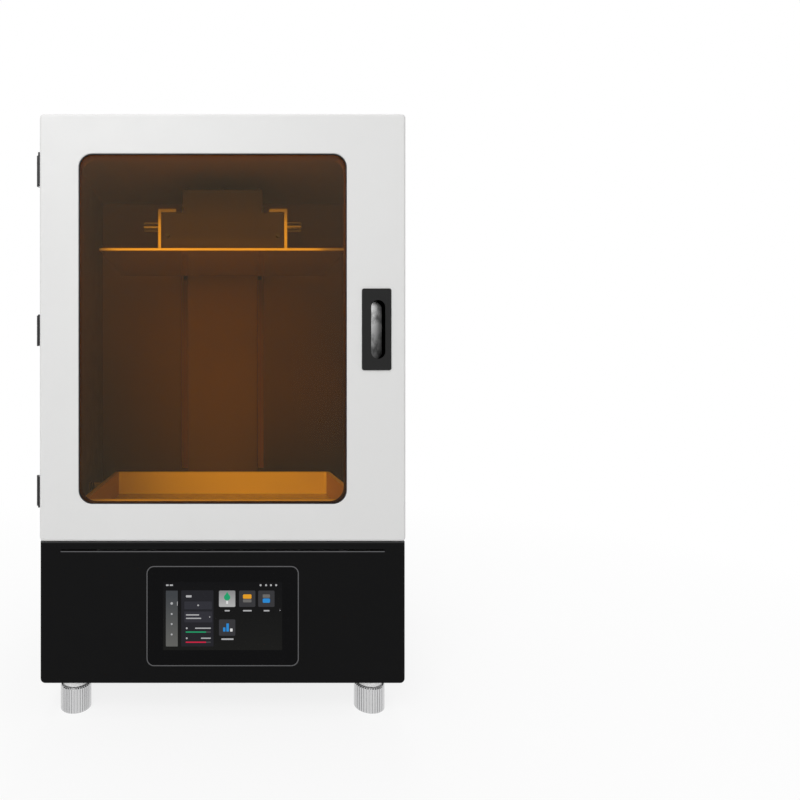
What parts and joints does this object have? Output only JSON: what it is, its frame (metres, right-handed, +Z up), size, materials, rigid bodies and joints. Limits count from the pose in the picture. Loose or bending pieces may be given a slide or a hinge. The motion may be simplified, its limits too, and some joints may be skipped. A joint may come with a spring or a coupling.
{
  "type": "resin printer",
  "caption": "Large resin printer: a white cabinet with a hinged amber-windowed door over a vat, lift and build plate, on a black base with a touch screen and knurled levelling feet.",
  "frame": {"origin": "on the floor below the middle of the cabinet, level with the undersides of the foot pads", "axes": "+Z up, the door faces -Y, +X is to the right as seen from the front"},
  "size_m": [0.5425, 0.4845, 0.8814],
  "materials": {
    "white_paint": "satin powder coat",
    "black_paint": "fine-textured powder coat",
    "liner_black": "matt black anodised",
    "wall_grey": "grey anodised",
    "amber": "clear cast sheet",
    "black_rubber": "matt",
    "black_plastic": "fine grain",
    "aluminium": "machined",
    "aluminium_clear": "anodised",
    "steel": "ground",
    "dark_steel": "black oxide",
    "screen_glass": "gloss",
    "lcd": "gloss",
    "film": "clear film",
    "board_green": "solder mask",
    "board_white": "white mask on metal core",
    "zinc": "zinc plate"
  },
  "bodies": {
    "chassis": {"base_tub": "black_paint", "base_rear_panel": "black_paint", "foot_nuts": "steel", "deck_plate": "liner_black", "vat_pins": "steel", "exposure_screen": "lcd", "light_box": "aluminium", "lamp_board": "board_white", "heat_sink": "aluminium", "power_supply": "zinc", "main_board": "board_green", "screen_frame": "aluminium", "touch_glass": "screen_glass", "display_module": "black_plastic", "power_inlet": "black_plastic", "data_socket": "steel", "fan_frame": "black_plastic", "cover_screws": "dark_steel", "cabinet_shell": "white_paint", "cabinet_cover": "white_paint", "chamber_liner": "liner_black", "chamber_wall": "wall_grey", "z_column": "aluminium", "z_rails": "steel", "screw_bearings": "aluminium", "z_motor": "black_plastic", "catch_magnets": "dark_steel", "hinge_cabinet_leaves": "dark_steel", "hinge_pins": "dark_steel"},
    "door": {"door_shell": "white_paint", "door_panel": "black_paint", "door_window": "amber", "window_trim": "black_rubber", "door_seal": "black_rubber", "door_strikes": "steel", "handle_bezel": "black_plastic", "handle_bottom": "steel", "hinge_door_leaves": "dark_steel"},
    "lift": {"z_carriage": "aluminium_clear", "rail_blocks": "steel", "ball_nut": "steel", "arm": "aluminium_clear", "head_block": "aluminium_clear", "head_screws": "steel"},
    "screw": {"lift_screw": "steel"},
    "plate": {"build_plate": "aluminium", "plate_hanger": "aluminium"},
    "clamp_left": {"clamp_knob_left": "aluminium"},
    "clamp_right": {"clamp_knob_right": "aluminium"},
    "vat": {"vat_ring": "aluminium", "release_film": "film", "vat_frame": "aluminium"},
    "vat_screw_l": {"vat_screw_left": "steel"},
    "vat_screw_r": {"vat_screw_right": "steel"},
    "fan": {"fan_rotor": "black_plastic"},
    "rocker": {"power_rocker": "black_plastic"},
    "foot_front_left_body": {"foot_front_left": "aluminium"},
    "foot_front_right_body": {"foot_front_right": "aluminium"},
    "foot_rear_left_body": {"foot_rear_left": "aluminium"},
    "foot_rear_right_body": {"foot_rear_right": "aluminium"}
  },
  "joints": [
    {"name": "door_swing", "type": "hinge", "parent": "chassis", "child": "door", "pos_m": [-0.2714, -0.219, 0.56695], "axis": [0, 0, -1], "range_deg": [0, 115]},
    {"name": "lift_travel", "type": "slide", "parent": "chassis", "child": "lift", "axis": [0, 0, 1], "range_m": [-0.445, 0.03]},
    {"name": "screw_turn", "type": "hinge", "parent": "chassis", "child": "screw", "pos_m": [0, 0.205, 0.258], "axis": [0, 0, 1], "continuous": true},
    {"name": "plate_release", "type": "slide", "parent": "lift", "child": "plate", "axis": [0, -1, 0], "range_m": [0, 0.07]},
    {"name": "clamp_left_turn", "type": "hinge", "parent": "plate", "child": "clamp_left", "pos_m": [-0.112, -0.015, 0.7755], "axis": [-1, 0, 0], "range_deg": [0, 540]},
    {"name": "clamp_right_turn", "type": "hinge", "parent": "plate", "child": "clamp_right", "pos_m": [0.112, -0.015, 0.7755], "axis": [1, 0, 0], "range_deg": [0, 540]},
    {"name": "vat_lift", "type": "slide", "parent": "chassis", "child": "vat", "axis": [0, 0, 1], "range_m": [0, 0.06]},
    {"name": "vat_screw_left_turn", "type": "hinge", "parent": "vat", "child": "vat_screw_l", "pos_m": [-0.234, -0.015, 0.2875], "axis": [0, 0, 1], "range_deg": [0, 720]},
    {"name": "vat_screw_right_turn", "type": "hinge", "parent": "vat", "child": "vat_screw_r", "pos_m": [0.234, -0.015, 0.2875], "axis": [0, 0, 1], "range_deg": [0, 720]},
    {"name": "fan_spin", "type": "hinge", "parent": "chassis", "child": "fan", "pos_m": [0.1314, 0.2375, 0.15325], "axis": [0, 1, 0], "continuous": true},
    {"name": "power_rocker_tilt", "type": "hinge", "parent": "chassis", "child": "rocker", "pos_m": [-0.1664, 0.2365, 0.16825], "axis": [-1, 0, 0], "range_deg": [0, 16]},
    {"name": "foot_front_left_level", "type": "slide", "parent": "chassis", "child": "foot_front_left_body", "axis": [0, 0, -1], "range_m": [0, 0.01]},
    {"name": "foot_front_right_level", "type": "slide", "parent": "chassis", "child": "foot_front_right_body", "axis": [0, 0, -1], "range_m": [0, 0.01]},
    {"name": "foot_rear_left_level", "type": "slide", "parent": "chassis", "child": "foot_rear_left_body", "axis": [0, 0, -1], "range_m": [0, 0.01]},
    {"name": "foot_rear_right_level", "type": "slide", "parent": "chassis", "child": "foot_rear_right_body", "axis": [0, 0, -1], "range_m": [0, 0.01]}
  ],
  "couplings": [
    {"joint": "screw_turn", "follows": "lift_travel", "rad_per_m": -628.32}
  ]
}
